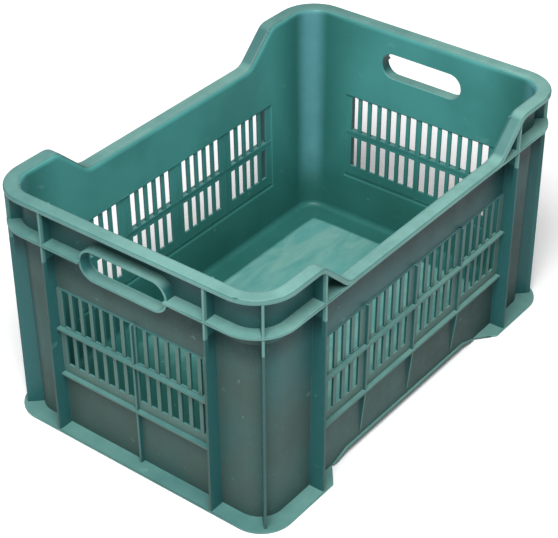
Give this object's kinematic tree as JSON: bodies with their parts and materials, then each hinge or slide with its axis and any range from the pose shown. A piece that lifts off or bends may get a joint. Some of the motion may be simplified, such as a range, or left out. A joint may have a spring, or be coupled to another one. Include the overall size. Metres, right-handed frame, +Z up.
{
  "type": "produce crate",
  "caption": "Open one-piece plastic produce crate with slotted walls, raised ends with hand holes, dipped long sides and an arched foot.",
  "frame": {"origin": "middle of the base, on the ground plane", "axes": "+X along the length, through a hand hole; +Y across; +Z up out of the opening"},
  "size_m": [0.6, 0.4, 0.317],
  "materials": {
    "crate_plastic": "satin green-teal polyethylene, lightly scuffed and faded"
  },
  "bodies": {
    "root": {"crate": "crate_plastic"}
  },
  "joints": []
}
